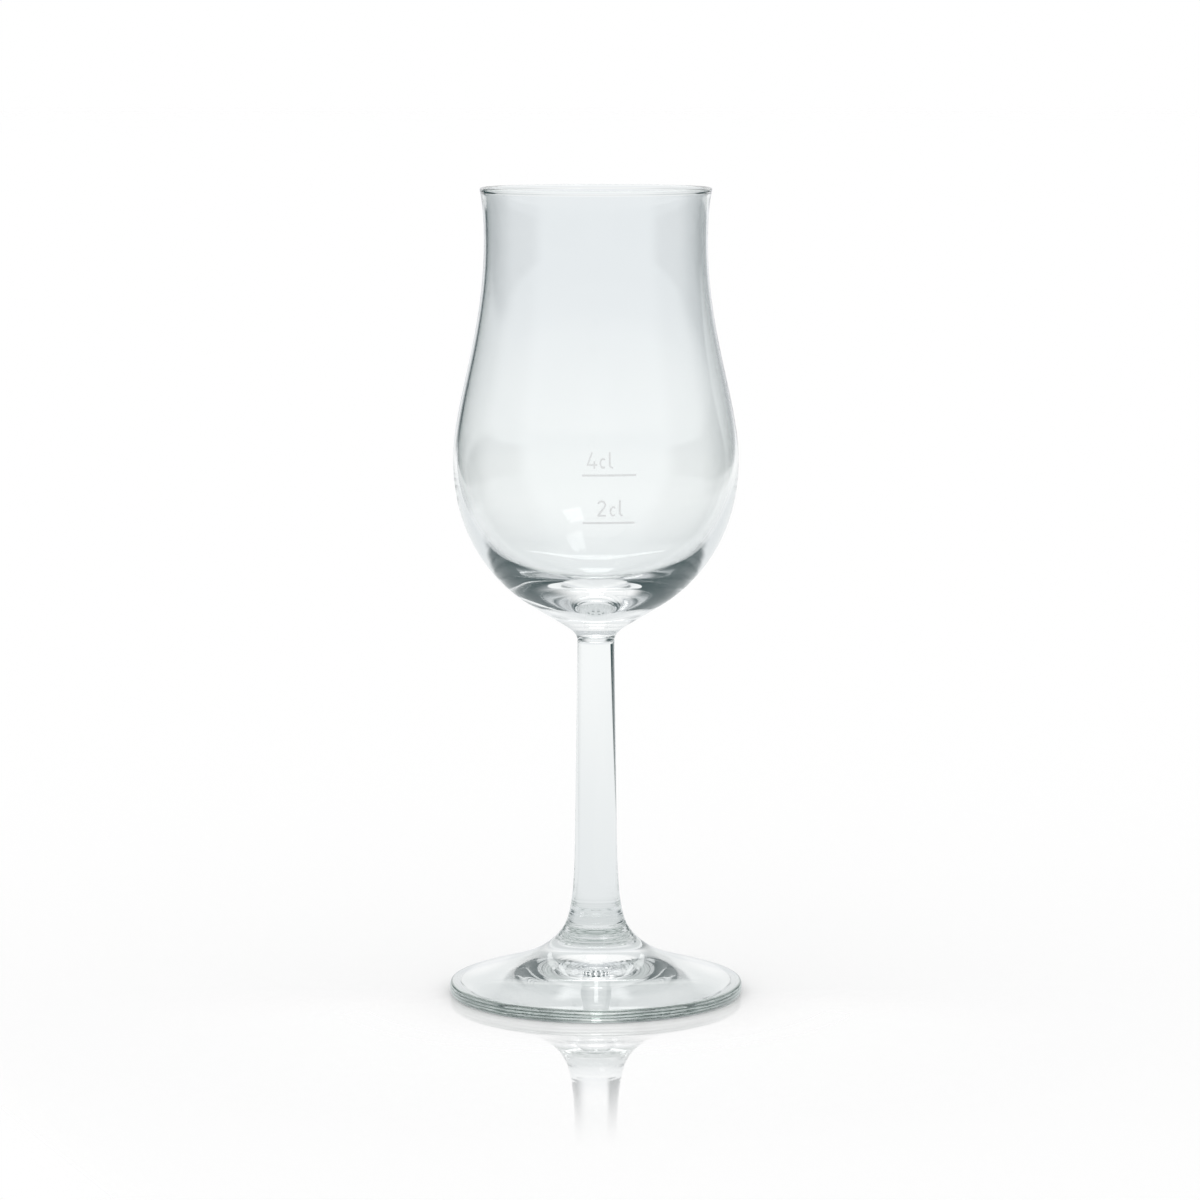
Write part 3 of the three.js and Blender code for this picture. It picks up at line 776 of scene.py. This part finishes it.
def table_polish(tree, axes, distance):
    """Share of mirror: little under the foot, most round it, none further out, and only on the viewer's side."""
    facing = calc(tree, "DIVIDE", times(tree, axes["Y"], -1.0), distance)
    gloss = fade(tree, distance, *mm(*GLOSS_NEAR), GLOSS_UNDER, GLOSS_MOST)
    near = times(tree, gloss, fade(tree, distance, *mm(*GLOSS_FAR), 1.0, 0.0))
    return times(tree, near, fade(tree, facing, *GLOSS_FACING))


print("table in mm:", TABLE_RIGHT - TABLE_LEFT, "wide,", TABLE_BACK - TABLE_FRONT, "deep")

# %% [markdown]
# ## Lacquer
# One material joins three looks of the table: matt white with the polish for the camera and for light, a plain glowing
# colour by distance with a painted shadow of the glass for rays that were bent or mirrored, and nothing past the soft
# edges. Two tables could share that work, but one that asks how a ray came is simpler to keep in place.

# %% Lacquer
TABLE_COLOUR, TABLE_GLOW = (0.9, 0.9, 0.9, 1.0), 0.1
MIRROR_ROUGHNESS = 0.015
# Painted shadow of the glass on the table, seen through it: darkest under the foot, lighter painted shade round it.
TABLE_PAINTED_SHADOW, PAINTED_SHADOW_FADE = (0.66, 0.69, 0.695, 1.0), (20.0, 62.0)
TABLE_NEAR_PAINTED_SHADE, PAINTED_SHADE_FADE = (0.82, 0.84, 0.85, 1.0), (60.0, 480.0)
TABLE_FAR, FAR_FADE = (0.97, 0.98, 0.98, 1.0), (700.0, 2200.0)


def table_through_glass_painted_shadow(tree, distance):
    """Colour of the table for bent or mirrored rays, by distance: a painted shadow under the foot, lighter painted
    shade near it, then far, then the sheet's seam.
    """
    colour = mix_colour(tree, fade(tree, distance, *mm(*PAINTED_SHADE_FADE)), TABLE_NEAR_PAINTED_SHADE, TABLE_FAR)
    colour = mix_colour(tree, fade(tree, distance, *mm(*FAR_FADE)), colour, SHEET_SEAM)
    return mix_colour(tree, fade(tree, distance, *mm(*PAINTED_SHADOW_FADE)), TABLE_PAINTED_SHADOW, colour)


def table_material():
    """White lacquer that fades out at its edges: matt, with a polish that shows close to the glass, and for bent or
    mirrored rays a colour by distance with a painted shadow of the glass.
    """
    material = new_material("table_white")
    tree = material.node_tree
    place = add_node(tree, "ShaderNodeTexCoord").outputs["Object"]
    axes = add_node(tree, "ShaderNodeSeparateXYZ", {0: place}).outputs
    distance = add_node(tree, "ShaderNodeVectorMath", {0: place}, operation="LENGTH").outputs["Value"]
    path = add_node(tree, "ShaderNodeLightPath").outputs
    through = calc(tree, "MAXIMUM", path["Is Glossy Ray"], path["Is Transmission Ray"])
    matt = add_node(tree, "ShaderNodeBsdfDiffuse", {"Color": TABLE_COLOUR})
    lift = times(tree, path["Is Camera Ray"], TABLE_GLOW)
    glow = add_node(tree, "ShaderNodeEmission", {"Color": WHITE, "Strength": lift})
    lit = add_node(tree, "ShaderNodeAddShader", {0: matt.outputs[0], 1: glow.outputs[0]})
    mirror = add_node(tree, "ShaderNodeBsdfGlossy", {"Color": WHITE, "Roughness": MIRROR_ROUGHNESS})
    polish = table_polish(tree, axes, distance)
    polished = add_node(tree, "ShaderNodeMixShader", {0: polish, 1: lit.outputs[0], 2: mirror.outputs[0]})
    # A glowing colour by distance, with the painted shadow of the glass.
    plain = add_node(tree, "ShaderNodeEmission", {"Color": table_through_glass_painted_shadow(tree, distance)})
    surface = add_node(tree, "ShaderNodeMixShader", {0: through, 1: polished.outputs[0], 2: plain.outputs[0]})
    clear = add_node(tree, "ShaderNodeBsdfTransparent")
    whole = table_reach(tree, axes)
    faded = add_node(tree, "ShaderNodeMixShader", {0: whole, 1: clear.outputs[0], 2: surface.outputs[0]})
    return show(material, faded)


table_white = table_material()
print("lacquer nodes:", len(table_white.node_tree.nodes))

# %% [markdown]
# ## Table top
# The table itself is a level sheet of a few large faces at height nought, where the foot stands. Its material does the
# rest, so it needs no thickness. It is part of the stage and not of the glass.

# %% Table top
TABLE_FACES = 8


def level_sheet(name, left, right, front, back, steps, material):
    """A level sheet: (x, y, 0) on an even grid between four sides."""
    x, y = np.meshgrid(np.linspace(left, right, steps + 1), np.linspace(front, back, steps + 1))
    points = np.stack([x, y, np.zeros_like(x)], axis=2).reshape(-1, 3) * MM
    row, column = np.meshgrid(np.arange(steps), np.arange(steps), indexing="ij")
    corner = row * (steps + 1) + column
    quads = np.stack([corner, corner + 1, corner + steps + 2, corner + steps + 1], axis=2).reshape(-1, 4)
    mesh = bpy.data.meshes.new(name)
    mesh.from_pydata(points.tolist(), [], quads.tolist())
    mesh.materials.append(material)
    mesh.update()
    piece = bpy.data.objects.new(name, mesh)
    bpy.context.scene.collection.objects.link(piece)
    return piece


table = level_sheet("table", TABLE_LEFT, TABLE_RIGHT, TABLE_FRONT, TABLE_BACK, TABLE_FACES, table_white)
print("table faces:", len(table.data.polygons))

# %% [markdown]
# ## Enamel
# The fill marks are fired enamel, a thin grey-white paste with a satin face. A mask on the bowl could show them, but
# the CAD strokes have the true shape, so they stay and only get their finish. A fine noise gives the grain that screen
# printing leaves.

# %% Enamel
ENAMEL_COLOUR = (0.70, 0.72, 0.72, 1.0)
ENAMEL_PALE = (0.78, 0.80, 0.80, 1.0)
GRAIN_SCALE, GRAIN_RANGE, GRAIN_DEPTH = 4000.0, (0.2, 0.8), 0.01
SATIN_LEAST, SATIN_MOST = 0.4, 0.6


def enamel_material():
    """Satin enamel with the fine grain that screen printing leaves."""
    material = new_material("enamel")
    tree = material.node_tree
    place = add_node(tree, "ShaderNodeTexCoord").outputs["Object"]
    grain = add_node(tree, "ShaderNodeTexNoise", {"Vector": place, "Scale": GRAIN_SCALE, "Detail": 2.0}).outputs[0]
    colour = mix_colour(tree, grain, ENAMEL_COLOUR, ENAMEL_PALE)
    rough = fade(tree, grain, *GRAIN_RANGE, SATIN_LEAST, SATIN_MOST)
    bump = add_node(tree, "ShaderNodeBump", {"Height": grain, "Distance": GRAIN_DEPTH * MM})
    finish = {"Base Color": colour, "Roughness": rough, "Normal": bump.outputs[0]}
    return show(material, add_node(tree, "ShaderNodeBsdfPrincipled", finish))


enamel = enamel_material()
enamel_nodes = sorted(set(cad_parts) - {"bowl", "stem", "foot"})
for name in enamel_nodes:
    node_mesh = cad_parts[name].data
    node_mesh.materials.clear()
    node_mesh.materials.append(enamel)
print("enamel on", enamel_nodes)

# %% [markdown]
# ## Light paths
# Light crosses the thick base many times before it gets out, so the render follows it further than usual.

# %% Finish
BOUNCES = 96
render_paths = bpy.context.scene.cycles
render_paths.max_bounces = BOUNCES
render_paths.transmission_bounces = BOUNCES
render_paths.glossy_bounces = BOUNCES
render_paths.transparent_max_bounces = BOUNCES
